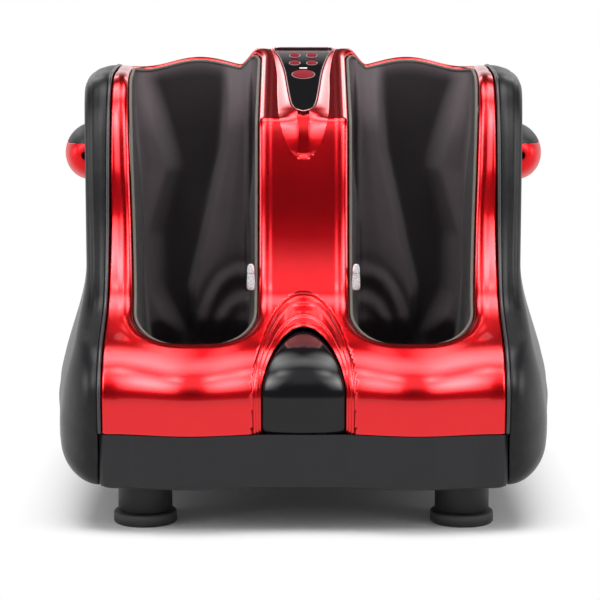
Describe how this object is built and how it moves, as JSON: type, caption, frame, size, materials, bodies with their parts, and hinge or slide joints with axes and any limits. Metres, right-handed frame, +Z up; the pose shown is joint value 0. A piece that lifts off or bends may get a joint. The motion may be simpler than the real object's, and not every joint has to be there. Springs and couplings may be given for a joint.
{
  "type": "foot massager",
  "caption": "Foot and calf massager with two open leg wells, kneading arms and rollers, a sloping control panel and a folding tilt stand",
  "frame": {"origin": "on the floor, under the middle of the body", "axes": "+Z up, toes towards -Y, +X to the right as seen from the toe end"},
  "size_m": [0.44, 0.4013, 0.3982],
  "materials": {
    "red_shell": "metallic red, high gloss",
    "black_gloss": "piano black",
    "black_leather": "smooth leatherette, half gloss",
    "black_plastic": "fine moulded grain",
    "rubber": "matt",
    "liner_fabric": "woven, matt",
    "zip_metal": "plated",
    "steel": "turned",
    "gear_plastic": "natural nylon",
    "red_button": "gloss",
    "indicator": "clear white",
    "circuit_board": "solder mask",
    "piping": "half gloss bead"
  },
  "bodies": {
    "housing": {"front_shell": "red_shell", "arch_insert": "black_gloss", "rear_cover": "black_leather", "base_tray": "black_plastic", "side_shell_left": "black_leather", "side_shell_right": "black_leather", "side_piping_left": "piping", "side_piping_right": "piping", "handle_grip_left": "black_plastic", "handle_grip_right": "black_plastic", "handle_cover_left": "red_shell", "handle_cover_right": "red_shell", "liner_left": "liner_fabric", "liner_right": "liner_fabric", "console_surround": "red_shell", "control_panel": "black_gloss", "led_window": "indicator", "switch_board": "circuit_board", "rear_foot_left": "rubber", "rear_foot_right": "rubber", "drive_frame": "black_plastic", "gearbox_plate": "black_plastic", "calf_motor": "steel", "arm_pivot_rod": "steel", "sole_frame": "black_plastic", "sole_motor": "steel", "footbed_left": "black_plastic", "footbed_right": "black_plastic", "power_board": "circuit_board", "power_inlet": "black_plastic", "switch_frame": "black_plastic"},
    "stand": {"stand_shaft": "steel", "stand_leg_left": "black_plastic", "stand_leg_right": "black_plastic", "stand_foot_left": "rubber", "stand_foot_right": "rubber"},
    "calf_drive": {"calf_camshaft": "steel", "calf_worm_wheel": "gear_plastic"},
    "calf_worm": {"calf_worm": "steel"},
    "left_inner_arm": {"kneading_arm_left_inner": "black_plastic"},
    "left_outer_arm": {"kneading_arm_left_outer": "black_plastic"},
    "right_inner_arm": {"kneading_arm_right_inner": "black_plastic"},
    "right_outer_arm": {"kneading_arm_right_outer": "black_plastic"},
    "sole_drive": {"sole_shaft": "steel", "sole_worm_wheel": "gear_plastic", "kneading_roller_left": "gear_plastic", "kneading_roller_right": "gear_plastic"},
    "sole_worm": {"sole_worm": "steel"},
    "power_button": {"power_button": "red_button"},
    "foot_button": {"foot_button": "red_button"},
    "calf_button": {"calf_button": "red_button"},
    "mode_button": {"mode_button": "red_button"},
    "speed_button": {"speed_button": "red_button"},
    "rocker": {"rocker_switch": "black_gloss"},
    "left_zip_pull": {"zip_pull_left": "zip_metal"},
    "right_zip_pull": {"zip_pull_right": "zip_metal"}
  },
  "joints": [
    {"name": "stand_fold", "type": "hinge", "parent": "housing", "child": "stand", "pos_m": [0, -0.118, 0.068], "axis": [1, 0, 0], "range_deg": [0, 90]},
    {"name": "calf_drive_turn", "type": "hinge", "parent": "housing", "child": "calf_drive", "pos_m": [0, 0.135, 0.25], "axis": [1, 0, 0], "continuous": true},
    {"name": "calf_worm_turn", "type": "hinge", "parent": "housing", "child": "calf_worm", "pos_m": [0, 0.16785, 0.25], "axis": [0, 0, 1], "continuous": true},
    {"name": "left_inner_arm_swing", "type": "hinge", "parent": "housing", "child": "left_inner_arm", "pos_m": [-0.022, 0.118, 0.135], "axis": [1, 0, 0], "range_deg": [-1.8, 1.8]},
    {"name": "left_outer_arm_swing", "type": "hinge", "parent": "housing", "child": "left_outer_arm", "pos_m": [-0.1605, 0.118, 0.135], "axis": [1, 0, 0], "range_deg": [-1.8, 1.8]},
    {"name": "right_inner_arm_swing", "type": "hinge", "parent": "housing", "child": "right_inner_arm", "pos_m": [0.022, 0.118, 0.135], "axis": [1, 0, 0], "range_deg": [-1.8, 1.8]},
    {"name": "right_outer_arm_swing", "type": "hinge", "parent": "housing", "child": "right_outer_arm", "pos_m": [0.1605, 0.118, 0.135], "axis": [1, 0, 0], "range_deg": [-1.8, 1.8]},
    {"name": "sole_drive_turn", "type": "hinge", "parent": "housing", "child": "sole_drive", "pos_m": [0, -0.025, 0.0685], "axis": [1, 0, 0], "continuous": true},
    {"name": "sole_worm_turn", "type": "hinge", "parent": "housing", "child": "sole_worm", "pos_m": [0, -0.025, 0.09435], "axis": [0, 1, 0], "continuous": true},
    {"name": "power_button_press", "type": "slide", "parent": "housing", "child": "power_button", "axis": [0, 0.3269, -0.9451], "range_m": [0, 0.0012], "stiffness_N_per_m": 800},
    {"name": "foot_button_press", "type": "slide", "parent": "housing", "child": "foot_button", "axis": [0, 0.3269, -0.9451], "range_m": [0, 0.0012], "stiffness_N_per_m": 800},
    {"name": "calf_button_press", "type": "slide", "parent": "housing", "child": "calf_button", "axis": [0, 0.3269, -0.9451], "range_m": [0, 0.0012], "stiffness_N_per_m": 800},
    {"name": "mode_button_press", "type": "slide", "parent": "housing", "child": "mode_button", "axis": [0, 0.3269, -0.9451], "range_m": [0, 0.0012], "stiffness_N_per_m": 800},
    {"name": "speed_button_press", "type": "slide", "parent": "housing", "child": "speed_button", "axis": [0, 0.3269, -0.9451], "range_m": [0, 0.0012], "stiffness_N_per_m": 800},
    {"name": "rocker_tip", "type": "hinge", "parent": "housing", "child": "rocker", "pos_m": [-0.062, 0.196, 0.116], "axis": [1, 0, 0], "range_deg": [0, 16]},
    {"name": "left_zip_slide", "type": "slide", "parent": "housing", "child": "left_zip_pull", "axis": [0, 0.2628, 0.9648], "range_m": [0, 0.08]},
    {"name": "right_zip_slide", "type": "slide", "parent": "housing", "child": "right_zip_pull", "axis": [0, 0.2628, 0.9648], "range_m": [0, 0.08]}
  ],
  "couplings": [
    {"joint": "calf_worm_turn", "follows": "calf_drive_turn", "ratio": -24},
    {"joint": "sole_worm_turn", "follows": "sole_drive_turn", "ratio": 18}
  ]
}
